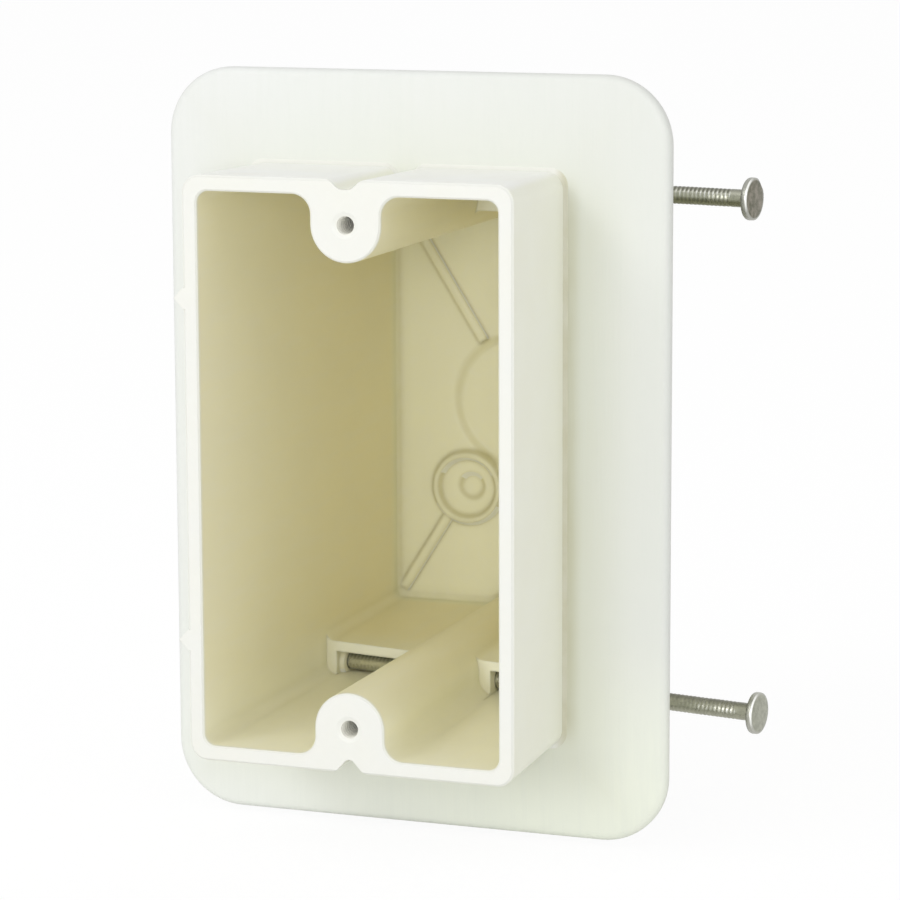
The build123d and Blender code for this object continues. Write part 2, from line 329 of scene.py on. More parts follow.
def group_sockets(group, inputs, outputs):
    """Gives a node group its named inputs, with their defaults, and its outputs."""
    for name, kind, default in inputs:
        socket = group.interface.new_socket(name=name, in_out="INPUT", socket_type=kind)
        if default is not None:
            socket.default_value = default
    for name, kind in outputs:
        group.interface.new_socket(name=name, in_out="OUTPUT", socket_type=kind)
    return group.nodes.new("NodeGroupInput"), group.nodes.new("NodeGroupOutput")


def put_group(nodes, group, values):
    """Places a node group in a material, with its own values."""
    node = nodes.new("ShaderNodeGroup")
    node.node_tree = group
    for name, value in values.items():
        node.inputs[name].default_value = value
    return node


def maths(nodes, links, operation, first, second, clamp=False):
    """One arithmetic node; each input is a socket or a number."""
    node = nodes.new("ShaderNodeMath")
    node.operation = operation
    node.use_clamp = clamp
    for socket, value in zip(node.inputs, (first, second)):
        if isinstance(value, (int, float)):
            socket.default_value = value
        else:
            links.new(value, socket)
    return node.outputs[0]


def absolute(nodes, links, value):
    """The size of a value, whatever its sign."""
    return maths(nodes, links, "ABSOLUTE", value, 0)


def product(nodes, links, first, second, *more):
    """Two or more values multiplied together, from the first to the last."""
    result = maths(nodes, links, "MULTIPLY", first, second)
    for value in more:
        result = maths(nodes, links, "MULTIPLY", result, value)
    return result


def split(nodes, links, vector):
    """A place or a direction taken apart into X, Y and Z."""
    node = nodes.new("ShaderNodeSeparateXYZ")
    links.new(vector, node.inputs[0])
    return node


def blend(nodes, links, share, first, second):
    """A colour between two colours; each input is a socket or a value."""
    node = nodes.new("ShaderNodeMix")
    node.data_type = "RGBA"
    for socket, value in zip((node.inputs[0], node.inputs[6], node.inputs[7]), (share, first, second)):
        if isinstance(value, (int, float, tuple)):
            socket.default_value = value
        else:
            links.new(value, socket)
    return node.outputs[2]


def remap(nodes, links, value, low, high, to_low, to_high):
    """A value carried smoothly from one range to another."""
    node = nodes.new("ShaderNodeMapRange")
    node.interpolation_type = "SMOOTHSTEP"
    links.new(value, node.inputs["Value"])
    node.inputs["From Min"].default_value = low
    node.inputs["From Max"].default_value = high
    node.inputs["To Min"].default_value = to_low
    node.inputs["To Max"].default_value = to_high
    return node.outputs["Result"]


def past(nodes, links, value, start, width, first, last):
    """A value that changes smoothly over a short width behind its start."""
    return remap(nodes, links, value, start, start + width, first, last)


def noise_node(nodes, links, place, scale, detail, roughness=0.55):
    """A noise pattern read at a place; scale is a socket, in cells per metre."""
    node = nodes.new("ShaderNodeTexNoise")
    links.new(place, node.inputs["Vector"])
    links.new(scale, node.inputs["Scale"])
    node.inputs["Detail"].default_value = detail
    node.inputs["Roughness"].default_value = roughness
    return node.outputs["Fac"]


def make_grain_group():
    """Cloudy tone and fine surface grain, as moulded and calendered plastics have."""
    group = bpy.data.node_groups.new("surface_grain", "ShaderNodeTree")
    inputs = [
        ("Place", "NodeSocketVector", None),
        ("Cloud Scale", "NodeSocketFloat", 90.0),
        ("Grain Scale", "NodeSocketFloat", 1800.0),
    ]
    outputs = [("Cloud", "NodeSocketFloat"), ("Grain", "NodeSocketFloat")]
    source, sink = group_sockets(group, inputs, outputs)
    nodes, links = group.nodes, group.links
    place = source.outputs["Place"]
    cloud = noise_node(nodes, links, place, source.outputs["Cloud Scale"], detail=4)
    grain = noise_node(nodes, links, place, source.outputs["Grain Scale"], detail=3)
    links.new(remap(nodes, links, cloud, *GRAIN_RANGE, 0, 1), sink.inputs["Cloud"])
    links.new(grain, sink.inputs["Grain"])
    return group


def make_scuff_group():
    """Fine drawn-out scratches along one direction, set by the stretch of the place."""
    group = bpy.data.node_groups.new("fine_scuffs", "ShaderNodeTree")
    inputs = [
        ("Place", "NodeSocketVector", None),
        ("Stretch", "NodeSocketVector", (1.0, 1.0, 1.0)),
        ("Scale", "NodeSocketFloat", 700.0),
    ]
    source, sink = group_sockets(group, inputs, [("Scuff", "NodeSocketFloat")])
    nodes, links = group.nodes, group.links
    stretched = nodes.new("ShaderNodeVectorMath")
    stretched.operation = "MULTIPLY"
    links.new(source.outputs["Place"], stretched.inputs[0])
    links.new(source.outputs["Stretch"], stretched.inputs[1])
    place, scale = stretched.outputs[0], source.outputs["Scale"]
    lines = noise_node(nodes, links, place, scale, detail=5, roughness=0.6)
    links.new(remap(nodes, links, lines, *SCUFF_RANGE, 0, 1), sink.inputs["Scuff"])
    return group


def make_edge_group():
    """Edges rounded over a small radius: a mask that is 1 on them, and their soft normal."""
    group = bpy.data.node_groups.new("edge_mask", "ShaderNodeTree")
    inputs = [("Radius", "NodeSocketFloat", WALL_SOFTNESS)]
    outputs = [("Edge", "NodeSocketFloat"), ("Soft Normal", "NodeSocketVector")]
    source, sink = group_sockets(group, inputs, outputs)
    nodes, links = group.nodes, group.links
    rounded = nodes.new("ShaderNodeBevel")
    rounded.samples = MASK_SAMPLES
    links.new(source.outputs["Radius"], rounded.inputs["Radius"])
    links.new(rounded.outputs["Normal"], sink.inputs["Soft Normal"])
    surface = nodes.new("ShaderNodeNewGeometry")
    agree = nodes.new("ShaderNodeVectorMath")
    agree.operation = "DOT_PRODUCT"
    links.new(rounded.outputs["Normal"], agree.inputs[0])
    links.new(surface.outputs["Normal"], agree.inputs[1])
    edge = remap(nodes, links, agree.outputs["Value"], *SAME_DIRECTION, 1, 0)
    links.new(edge, sink.inputs["Edge"])
    return group


def from_middle_line(nodes, links, across, up):
    """How far a place lies from a round form's middle line."""
    squares = product(nodes, links, across, across)
    squares = maths(nodes, links, "ADD", squares, product(nodes, links, up, up))
    return maths(nodes, links, "SQRT", squares, 0)


def object_place(nodes):
    """The place on the object, in metres."""
    return nodes.new("ShaderNodeTexCoord").outputs["Object"]


def add_bump(nodes, links, surface, soft_edges, height, distance, strength):
    """Lets a height pattern stand out of a surface whose edges are soft."""
    node = nodes.new("ShaderNodeBump")
    node.inputs["Strength"].default_value = strength
    node.inputs["Distance"].default_value = distance
    links.new(soft_edges.outputs["Soft Normal"], node.inputs["Normal"])
    links.new(height, node.inputs["Height"])
    links.new(node.outputs["Normal"], surface.inputs["Normal"])


def rim_mask(nodes, links, parts):
    """1 on the front face of the rim, 0 a little behind it."""
    return remap(nodes, links, parts.outputs["Y"], *RIM_FACE, 1, 0)


def bore_mask(nodes, links, parts):
    """1 on the walls of the two device-screw holes, 0 elsewhere."""
    up = maths(nodes, links, "SUBTRACT", absolute(nodes, links, parts.outputs["Z"]), SCREW_LEVEL)
    distance = from_middle_line(nodes, links, parts.outputs["X"], up)
    in_front = maths(nodes, links, "LESS_THAN", parts.outputs["Y"], BORE_END)
    on_wall = remap(nodes, links, distance, *BORE_WALL, 1, 0)
    return product(nodes, links, on_wall, in_front)


def crevice_shade_mask(nodes, links):
    """Painted shade: 1 deep in a corner or at the foot of a rib, 0 on open surfaces."""
    shelter = nodes.new("ShaderNodeAmbientOcclusion")
    shelter.samples = MASK_SAMPLES
    shelter.only_local = True
    shelter.inputs["Distance"].default_value = CREVICE_REACH
    return remap(nodes, links, shelter.outputs["AO"], *SHELTERED, 1, 0)


def facing_in(nodes, links, parts):
    """1 on surfaces that look neither backwards nor out through the box's ends."""
    surface = nodes.new("ShaderNodeNewGeometry")
    facing = split(nodes, links, surface.outputs["Normal"])
    side = maths(nodes, links, "SIGN", parts.outputs["Z"], 0)
    outwards = product(nodes, links, facing.outputs["Z"], side)
    outwards = maths(nodes, links, "MAXIMUM", outwards, facing.outputs["Y"])
    return maths(nodes, links, "LESS_THAN", outwards, FACING_AWAY)


def inside_mask(nodes, links, parts):
    """1 on the walls of the box's hollow, 0 on the rim and outside."""
    depth = parts.outputs["Y"]
    across = absolute(nodes, links, parts.outputs["X"])
    up = absolute(nodes, links, parts.outputs["Z"])
    behind_rim = remap(nodes, links, depth, *RIM_TO_WALL, 0, 1)
    within_sides = maths(nodes, links, "LESS_THAN", across, HOLLOW_HALF_WIDTH)
    behind_guards = maths(nodes, links, "GREATER_THAN", depth, GUARD_REAR)
    fall = maths(nodes, links, "ADD", product(nodes, links, depth, GUARD_RISE), GUARD_STEP)
    fall = product(nodes, links, fall, behind_guards)
    limit = maths(nodes, links, "SUBTRACT", HOLLOW_HALF_HEIGHT, fall)
    within_ends = maths(nodes, links, "LESS_THAN", up, limit)
    before_back = maths(nodes, links, "LESS_THAN", depth, HOLLOW_BACK)
    mask = product(nodes, links, within_sides, within_ends, before_back)
    return product(nodes, links, mask, facing_in(nodes, links, parts), behind_rim)


def facing_front(nodes, links):
    """1 on surfaces that look straight out of the box, 0 on its walls."""
    surface = nodes.new("ShaderNodeNewGeometry")
    facing = split(nodes, links, surface.outputs["Normal"])
    return remap(nodes, links, facing.outputs["Y"], *FACING_FRONT, 1, 0)


def slope_shade_mask(nodes, links, rounded_edges):
    """Painted shade: how far a softened surface leans away from the opening, as relief on the back
    does.
    """
    facing = split(nodes, links, rounded_edges.outputs["Soft Normal"])
    return remap(nodes, links, facing.outputs["Y"], *FACING_SLOPE, 0, SLOPE_SHADE_SHARE)


def inside_painted_light_and_shade(nodes, links, parts, rounded_edges):
    """The hollow's colour, mostly painted light and shade: warm walls and a greener back as painted
    bounce light, lighter low down, lighter on the lips that face the opening, darker on the relief's
    slopes and in crevices.
    """
    depth = parts.outputs["Y"]
    low = remap(nodes, links, parts.outputs["Z"], *LOW_DOWN, 1, 0)
    rear = remap(nodes, links, depth, *SHELF_FRONT, 0, 1)
    # Painted light: the floor and shelf low down are lighter
    lower = blend(nodes, links, rear, IVORY_LOW_PAINTED_LIGHT, IVORY_SHELF_PAINTED_LIGHT)
    warmth = remap(nodes, links, depth, *WALL_DEEPENING, 0, 1)
    # Painted bounce light: the walls turn warmer deeper in
    walls = blend(nodes, links, warmth, IVORY_DEEP_PAINTED_BOUNCE, IVORY_WARM_PAINTED_BOUNCE)
    colour = blend(nodes, links, low, walls, lower)
    # Painted bounce light: the back wall is greener
    at_back = remap(nodes, links, depth, *BACK_WALL, 0, 1)
    colour = blend(nodes, links, at_back, colour, IVORY_BACK_PAINTED_BOUNCE)
    across = absolute(nodes, links, parts.outputs["X"])
    clear_of_walls = remap(nodes, links, across, *BACK_RELIEF_SIDES, 1, 0)
    up = absolute(nodes, links, parts.outputs["Z"])
    clear_of_ends = remap(nodes, links, up, *BACK_RELIEF_ENDS, 1, 0)
    # Painted shade on the sloping relief of the back wall
    slope_shade = product(nodes, links, at_back, slope_shade_mask(nodes, links, rounded_edges), clear_of_walls)
    slope_shade = product(nodes, links, slope_shade, clear_of_ends)
    colour = blend(nodes, links, slope_shade, colour, IVORY_SLOPE_PAINTED_SHADE)
    # Painted light: surfaces near the front that face the opening are made lighter
    in_front = remap(nodes, links, depth, *LIPS_END, 1, 0)
    lit_lips = product(nodes, links, facing_front(nodes, links), in_front)
    colour = blend(nodes, links, lit_lips, colour, IVORY_LIP_PAINTED_LIGHT)
    # Painted shade in corners and at the feet of ribs, from an occlusion mask
    crevice_shade = product(nodes, links, crevice_shade_mask(nodes, links), CREVICE_SHADE_SHARE)
    return blend(nodes, links, crevice_shade, colour, IVORY_CREVICE_PAINTED_SHADE)


def wall_softness(nodes, links, parts):
    """How far edges look rounded: crisp at the rim, soft inside, softest on the back wall."""
    depth = parts.outputs["Y"]
    front = remap(nodes, links, depth, *RIM_SHARPNESS_END, RIM_SOFTNESS, WALL_SOFTNESS)
    back = remap(nodes, links, depth, *BACK_SHARPNESS_END, 0, BACK_SOFTNESS - WALL_SOFTNESS)
    return maths(nodes, links, "ADD", front, back)


def ivory_fibreglass(grain, scuffs, edges):
    """Moulded glass-fibre compound: ivory, faintly clouded, with painted light and shade on its top,
    rim, screw holes and hollow, and edges paler from wear and a painted highlight.
    """
    material, nodes, links, surface = new_material("ivory_fibreglass")
    place = object_place(nodes)
    clouds = put_group(nodes, grain, IVORY_GRAIN)
    links.new(place, clouds.inputs["Place"])
    flow = put_group(nodes, scuffs, IVORY_FLOW)
    links.new(place, flow.inputs["Place"])
    parts = split(nodes, links, place)
    rounded_edges = put_group(nodes, edges, {})
    links.new(wall_softness(nodes, links, parts), rounded_edges.inputs["Radius"])
    # Painted light: the outer top face is made lighter
    on_top = remap(nodes, links, parts.outputs["Z"], *TOP_FACE, 0, 1)
    outside = blend(nodes, links, on_top, IVORY, IVORY_TOP_PAINTED_LIGHT)
    inside = inside_mask(nodes, links, parts)
    # Painted light and shade fill the hollow
    colour = blend(nodes, links, inside, outside, inside_painted_light_and_shade(nodes, links, parts, rounded_edges))
    # Painted light: the rim's front face gets its own tone for the front light
    colour = blend(nodes, links, rim_mask(nodes, links, parts), colour, IVORY_RIM_PAINTED_LIGHT)
    # Painted light: the screw holes' walls are brightened
    colour = blend(nodes, links, bore_mask(nodes, links, parts), colour, IVORY_BORE_PAINTED_LIGHT)
    cloudy = product(nodes, links, clouds.outputs["Cloud"], IVORY_CLOUD_SHARE)
    colour = blend(nodes, links, cloudy, colour, IVORY_CLOUD)
    streaks = product(nodes, links, flow.outputs["Scuff"], IVORY_STREAK_SHARE)
    colour = blend(nodes, links, streaks, colour, IVORY_PALE)
    # Outer edges are paler, partly as wear and partly as a painted highlight
    outer = maths(nodes, links, "SUBTRACT", 1, inside)
    rubbed = product(nodes, links, rounded_edges.outputs["Edge"], outer, IVORY_WEAR_AND_HIGHLIGHT_SHARE)
    colour = blend(nodes, links, rubbed, colour, IVORY_PALE)
    links.new(colour, surface.inputs["Base Color"])
    gloss = remap(nodes, links, clouds.outputs["Cloud"], 0, 1, *IVORY_ROUGHNESS)
    links.new(gloss, surface.inputs["Roughness"])
    surface.inputs["Specular IOR Level"].default_value = IVORY_SPECULAR
    grain_height = product(nodes, links, clouds.outputs["Grain"], IVORY_GRAIN_HEIGHT)
    flow_height = product(nodes, links, flow.outputs["Scuff"], IVORY_FLOW_HEIGHT)
    height = maths(nodes, links, "ADD", grain_height, flow_height)
    add_bump(nodes, links, surface, rounded_edges, height, IVORY_RELIEF, IVORY_RELIEF_STRENGTH)
    return material


def box_distance(nodes, links, parts):
    """How far a place on the flange lies from the outline of the box."""
    across = absolute(nodes, links, parts.outputs["X"])
    across = maths(nodes, links, "SUBTRACT", across, BOX_HALF_WIDTH_AT_FLANGE)
    up = absolute(nodes, links, parts.outputs["Z"])
    up = maths(nodes, links, "SUBTRACT", up, BOX_HALF_HEIGHT_AT_FLANGE)
    return maths(nodes, links, "MAXIMUM", across, up)


def flange_colour(nodes, links, parts):
    """The flange's colour: cool white with painted light and shade: darker towards the right, lighter
    and warmer at its foot, darker and warmer beside the box, with a painted shadow in the corner on
    the box's right.
    """
    across, up = parts.outputs["X"], parts.outputs["Z"]
    # Painted shade: darker towards the right
    far = remap(nodes, links, across, *FLANGE_ACROSS, 0, 1)
    colour = blend(nodes, links, far, FLANGE_WHITE, FLANGE_FAR_PAINTED_SHADE)
    # Painted light: lighter and warmer towards the foot
    low = remap(nodes, links, up, *FLANGE_FOOT, 1, 0)
    low_share = remap(nodes, links, across, *FLANGE_FOOT_ACROSS, FLANGE_FOOT_LEAST, 1)
    colour = blend(nodes, links, product(nodes, links, low, low_share), colour, FLANGE_LOW_PAINTED_LIGHT)
    distance = box_distance(nodes, links, parts)
    # Painted shade and warm bounced light beside the box, weaker near the top
    near_box = remap(nodes, links, distance, *NEAR_BOX, NEAR_BOX_SHARE, 0)
    below_top = remap(nodes, links, up, *FLANGE_TOP, 1, FLANGE_TOP_SHARE)
    colour = blend(nodes, links, product(nodes, links, near_box, below_top), colour, FLANGE_NEAR_PAINTED_SHADE)
    # Painted shadow: a dark band in the corner along the box's right side
    corner_shadow = remap(nodes, links, distance, *CORNER_SHADOW_BAND, CORNER_SHADOW_SHARE, 0)
    beside = remap(nodes, links, across, *CORNER_SHADOW_SIDE, 0, 1)
    level_with_box = remap(nodes, links, absolute(nodes, links, up), *CORNER_SHADOW_ENDS, 1, 0)
    corner_shadow = product(nodes, links, corner_shadow, beside, below_top, level_with_box)
    return blend(nodes, links, corner_shadow, colour, FLANGE_CORNER_PAINTED_SHADOW)


def white_flange(grain, scuffs, edges):
    """Satin white sheet: cool, softly clouded, with fine upright drag lines and painted shade on its
    rounded edges.
    """
    material, nodes, links, surface = new_material("white_flange")
    place = object_place(nodes)
    clouds = put_group(nodes, grain, FLANGE_GRAIN)
    links.new(place, clouds.inputs["Place"])
    drag = put_group(nodes, scuffs, FLANGE_DRAG)
    links.new(place, drag.inputs["Place"])
    rim = put_group(nodes, edges, {"Radius": FLANGE_SOFTNESS})
    colour = flange_colour(nodes, links, split(nodes, links, place))
    lines = product(nodes, links, drag.outputs["Scuff"], FLANGE_LINE_SHARE)
    colour = blend(nodes, links, lines, colour, FLANGE_SHADE)
    cloudy = product(nodes, links, clouds.outputs["Cloud"], FLANGE_CLOUD_SHARE)
    colour = blend(nodes, links, cloudy, colour, FLANGE_SHADE)
    # Painted shade on the rounded edges
    edge = product(nodes, links, rim.outputs["Edge"], FLANGE_EDGE_SHADE_SHARE)
    colour = blend(nodes, links, edge, colour, FLANGE_EDGE_PAINTED_SHADE)
    links.new(colour, surface.inputs["Base Color"])
    gloss = remap(nodes, links, drag.outputs["Scuff"], 0, 1, *FLANGE_ROUGHNESS)
    links.new(gloss, surface.inputs["Roughness"])
    surface.inputs["Specular IOR Level"].default_value = FLANGE_SPECULAR
    height = maths(nodes, links, "ADD", clouds.outputs["Grain"], drag.outputs["Scuff"])
    add_bump(nodes, links, surface, rim, height, FLANGE_RELIEF, FLANGE_RELIEF_STRENGTH)
    return material


def sealant(grain):
    """Dull beige sealant, slightly lumpy; painted shade makes it deepest in tone on the right of the
    box.
    """
    material, nodes, links, surface = new_material("seal_bead")
    place = object_place(nodes)
    lumps = put_group(nodes, grain, SEALANT_GRAIN)
    links.new(place, lumps.inputs["Place"])
    parts = split(nodes, links, place)
    # Painted shade: the bead is darker on the box's right side
    elsewhere = remap(nodes, links, parts.outputs["X"], *SEALANT_SHADED_SIDE, 1, 0)
    uneven = product(nodes, links, lumps.outputs["Cloud"], SEALANT_CLOUD_SHARE)
    pale = maths(nodes, links, "ADD", elsewhere, uneven, clamp=True)
    links.new(blend(nodes, links, pale, SEALANT_PAINTED_SHADE, SEALANT_PALE), surface.inputs["Base Color"])
    gloss = remap(nodes, links, lumps.outputs["Grain"], *GRAIN_RANGE, *SEALANT_ROUGHNESS)
    links.new(gloss, surface.inputs["Roughness"])
    return material


def nail_directions(nodes, links, place, side):
    """A place on a nail: how far along it, then how far across and up from its middle line."""
    parts = split(nodes, links, place)
    right = parts.outputs["X"]
    deep = maths(nodes, links, "SUBTRACT", parts.outputs["Y"], NAIL_DEPTH)
    rake_cos, rake_sin = math.cos(NAIL_RAKE), math.sin(NAIL_RAKE)
    along = product(nodes, links, right, rake_cos)
    along = maths(nodes, links, "SUBTRACT", along, product(nodes, links, deep, rake_sin))
    across = product(nodes, links, right, rake_sin)
    across = maths(nodes, links, "ADD", across, product(nodes, links, deep, rake_cos))
    up = maths(nodes, links, "SUBTRACT", parts.outputs["Z"], side * NAIL_LEVEL)
    return along, across, up


def off_crest(nodes, links, along, under):
    """How far a place on the shank is from the nearest grip crest, in pitches."""
    turn = maths(nodes, links, "SUBTRACT", along, under - GRIP_START)
    turn = maths(nodes, links, "FRACT", maths(nodes, links, "DIVIDE", turn, GRIP_PITCH), 0)
    return absolute(nodes, links, maths(nodes, links, "SUBTRACT", turn, GRIP_CREST))


def painted_grip_glints(nodes, links, along, level, patches, under, tones):
    """Painted glints: 1 on the crests of the grip marks, where they catch the light."""
    crest = remap(nodes, links, off_crest(nodes, links, along, under), *CREST_WIDTH, 1, 0)
    off_level = maths(nodes, links, "SUBTRACT", level, tones["glint_level"])
    off_level = absolute(nodes, links, off_level)
    band = remap(nodes, links, off_level, GLINT_CORE, tones["glint_width"], 1, 0)
    start = tones["glints_from"]
    reach = remap(nodes, links, along, start, start + GLINT_FADE, 0, 1)
    uneven = remap(nodes, links, patches.outputs["Cloud"], *GLINT_PATCHES, GLINT_LEAST, 1)
    below_head = maths(nodes, links, "LESS_THAN", along, under - GRIP_START)
    return product(nodes, links, crest, band, reach, uneven, below_head)


def grip_notches(nodes, links, along, level, under, tones):
    """Painted shade: 1 in the grip marks' notches, in a row along the top and one along the middle."""
    depth = remap(nodes, links, off_crest(nodes, links, along, under), *NOTCH_WIDTH, 0, tones["notch_shade"])
    upper_row = remap(nodes, links, level, *UPPER_NOTCHES, 0, 1)
    off_middle_row = maths(nodes, links, "SUBTRACT", level, MIDDLE_NOTCH_LEVEL)
    off_middle_row = absolute(nodes, links, off_middle_row)
    middle_row = remap(nodes, links, off_middle_row, *MIDDLE_NOTCHES, MIDDLE_NOTCH_SHARE, 0)
    rows = maths(nodes, links, "ADD", upper_row, middle_row, clamp=True)
    below_head = maths(nodes, links, "LESS_THAN", along, under - GRIP_START)
    return product(nodes, links, depth, rows, below_head)


def shank_colour(nodes, links, along, up, patches, under, tones):
    """The shank, with painted shade along its top line, low down and in its notches, a paler painted
    reflection inside the box, dull patches, and painted glints on its grip marks.
    """
    level = maths(nodes, links, "DIVIDE", up, SHANK_RADIUS)
    # Painted shade: the shank is darker low down
    low = remap(nodes, links, level, *SHANK_LOW, 1, 0)
    colour = blend(nodes, links, low, tones["shank"], tones["low"])
    # Painted shade along the shank's top line
    top = remap(nodes, links, level, *SHANK_TOP, 0, SHANK_TOP_SHADE_SHARE)
    colour = blend(nodes, links, top, colour, STEEL_DULL_AND_SHADE)
    # Painted reflection of the ivory walls on the shank inside the box
    reflection_within = remap(nodes, links, along, *SHANK_WITHIN, SHANK_REFLECTION_SHARE, 0)
    colour = blend(nodes, links, reflection_within, colour, STEEL_WITHIN_PAINTED_REFLECTION)
    dull = product(nodes, links, patches.outputs["Cloud"], STEEL_DULL_SHARE)
    colour = blend(nodes, links, dull, colour, STEEL_DULL_AND_SHADE)
    # Painted shade in the grip notches
    notches = grip_notches(nodes, links, along, level, under, tones)
    colour = blend(nodes, links, notches, colour, STEEL_DULL_AND_SHADE)
    # Painted glints on the grip crests
    glints = painted_grip_glints(nodes, links, along, level, patches, under, tones)
    return blend(nodes, links, glints, colour, STEEL_PAINTED_HIGHLIGHT)


def head_colour(nodes, links, along, across, up, radius, patches, top, tones):
    """The head: a struck face, a plain side, painted shade under it and a painted highlight on its rim
    towards the front.
    """
    face = past(nodes, links, radius, HEAD_RADIUS - HEAD_FACE_EDGE, HEAD_FACE_FADE, 1, 0)
    on_top = past(nodes, links, along, top - HEAD_FACE_EDGE, HEAD_FACE_FADE, 0, 1)
    patched = blend(nodes, links, patches.outputs["Cloud"], tones["face"], tones["face_patch"])
    colour = blend(nodes, links, product(nodes, links, face, on_top), tones["side"], patched)
    under = top - HEAD_THICKNESS
    # Painted shade on the underside of the head
    under_side = past(nodes, links, along, under, HEAD_UNDER_FADE, HEAD_UNDER_SHADE_SHARE, 0)
    colour = blend(nodes, links, under_side, colour, STEEL_DULL_AND_SHADE)
    # Painted highlight on the head's rim, strongest towards the front and top
    rim = past(nodes, links, radius, HEAD_RADIUS - HEAD_RIM_EDGE, HEAD_RIM_FADE, 0, 1)
    on_rim = past(nodes, links, along, top - HEAD_RIM_DEPTH, HEAD_RIM_FADE, 0, 1)
    front = maths(nodes, links, "SUBTRACT", product(nodes, links, up, HEAD_LIGHT_SLANT), across)
    front = remap(nodes, links, front, 0.5 * HEAD_RADIUS, HEAD_RADIUS, HEAD_HIGHLIGHT_LEAST, 1)
    return blend(nodes, links, product(nodes, links, rim, on_rim, front), colour, STEEL_PAINTED_HIGHLIGHT)


def nail_steel(which, grain, edges):
    """Drawn wire steel: grey with a green cast, dull in patches, glossier on its edges, with painted
    shade, painted reflection and painted highlights.
    """
    material, nodes, links, surface = new_material("nail_steel_" + which)
    tones = NAIL_TONES[which]
    top = NAIL_REACH[which] / math.cos(NAIL_RAKE)
    under = top - HEAD_THICKNESS
    place = object_place(nodes)
    along, across, up = nail_directions(nodes, links, place, SIDES[which])
    radius = from_middle_line(nodes, links, across, up)
    patches = put_group(nodes, grain, STEEL_GRAIN)
    links.new(place, patches.inputs["Place"])
    rubbed = put_group(nodes, edges, {"Radius": STEEL_SOFTNESS})
    shank = shank_colour(nodes, links, along, up, patches, under, tones)
    head = head_colour(nodes, links, along, across, up, radius, patches, top, tones)
    on_head = past(nodes, links, along, under - HEAD_BLEND_START, HEAD_BLEND, 0, 1)
    links.new(blend(nodes, links, on_head, shank, head), surface.inputs["Base Color"])
    surface.inputs["Metallic"].default_value = 1.0
    gloss = remap(nodes, links, patches.outputs["Grain"], *GRAIN_RANGE, *STEEL_ROUGHNESS)
    polished = product(nodes, links, rubbed.outputs["Edge"], STEEL_POLISH)
    links.new(maths(nodes, links, "SUBTRACT", gloss, polished), surface.inputs["Roughness"])
    height = patches.outputs["Grain"]
    add_bump(nodes, links, surface, rubbed, height, STEEL_RELIEF, STEEL_RELIEF_STRENGTH)
    return material


def finish_piece(mesh, name, material, smooth_angle=SMOOTH_ANGLE):
    """Turns a bmesh into a finished object that rides on the body."""
    bmesh.ops.remove_doubles(mesh, verts=mesh.verts, dist=MERGE_DISTANCE)
    bmesh.ops.recalc_face_normals(mesh, faces=mesh.faces)
    for edge in mesh.edges:
        edge.smooth = edge.calc_face_angle(0) < smooth_angle
    for face in mesh.faces:
        face.smooth = True
    data = bpy.data.meshes.new(name)
    mesh.to_mesh(data)
    mesh.free()
    piece = bpy.data.objects.new(name, data)
    bpy.context.collection.objects.link(piece)
    data.materials.append(material)
    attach(piece, BODY)
    return piece


def grip_profile(under):
    """The serrated stretch of the shank, from its far end up towards the head."""
    points = []
    for step in range(GRIP_COUNT, 0, -1):
        bottom = under - GRIP_START - step * GRIP_PITCH
        place = Vector((step * GRIP_NOISE_STEP, GRIP_NOISE_ROW, under * GRIP_NOISE_SCALE))
        depth = GRIP_DEPTH * (GRIP_MEAN_SHARE + GRIP_UNEVEN_SHARE * noise.noise(place))
        for rise, share in GRIP_SECTION:
            points.append((SHANK_RADIUS - share * depth, bottom + rise * GRIP_PITCH))
    return points


def head_profile(top):
    """The head's half outline, from the throat under it to the crown."""
    under = top - HEAD_THICKNESS
    lower_edge = under + HEAD_UNDERSIDE
    upper_edge = top - HEAD_CROWN
    return [
        (SHANK_RADIUS, under - HEAD_THROAT),
        (SHANK_RADIUS + 0.18 * HEAD_THROAT, under - 0.45 * HEAD_THROAT),
        (SHANK_RADIUS + HEAD_THROAT, under),
        (HEAD_RADIUS - HEAD_ROUND, lower_edge),
        (HEAD_RADIUS - 0.3 * HEAD_ROUND, lower_edge + 0.3 * HEAD_ROUND),
        (HEAD_RADIUS, lower_edge + HEAD_ROUND),
        (HEAD_RADIUS - HEAD_TAPER, upper_edge - HEAD_ROUND),
        (HEAD_RADIUS - 0.3 * HEAD_ROUND, upper_edge - 0.3 * HEAD_ROUND),
        (HEAD_RADIUS - HEAD_ROUND, upper_edge),
        (0.75 * HEAD_RADIUS, top - 0.55 * HEAD_CROWN),
        (0.4 * HEAD_RADIUS, top - 0.1 * HEAD_CROWN),
        (0, top),
    ]


def nail_profile(top):
    """Half the outline of a nail, from its point to the crown of its head."""
    tip = top - NAIL_LENGTH
    point = [(0, tip), (POINT_FLAT, tip), (SHANK_RADIUS, tip + POINT_LENGTH)]
    return point + grip_profile(top - HEAD_THICKNESS) + head_profile(top)


def spin_profile(points, steps):
    """A closed turned form about the Z axis."""
    mesh = bmesh.new()
    verts = [mesh.verts.new((radius, 0, along)) for radius, along in points]
    edges = [mesh.edges.new(pair) for pair in zip(verts, verts[1:])]
    bmesh.ops.spin(
        mesh, geom=verts + edges, cent=(0, 0, 0), axis=(0, 0, 1), dvec=(0, 0, 0),
        angle=2 * math.pi, steps=steps, use_merge=True,
    )
    bmesh.ops.remove_doubles(mesh, verts=mesh.verts, dist=MERGE_DISTANCE)
    return mesh


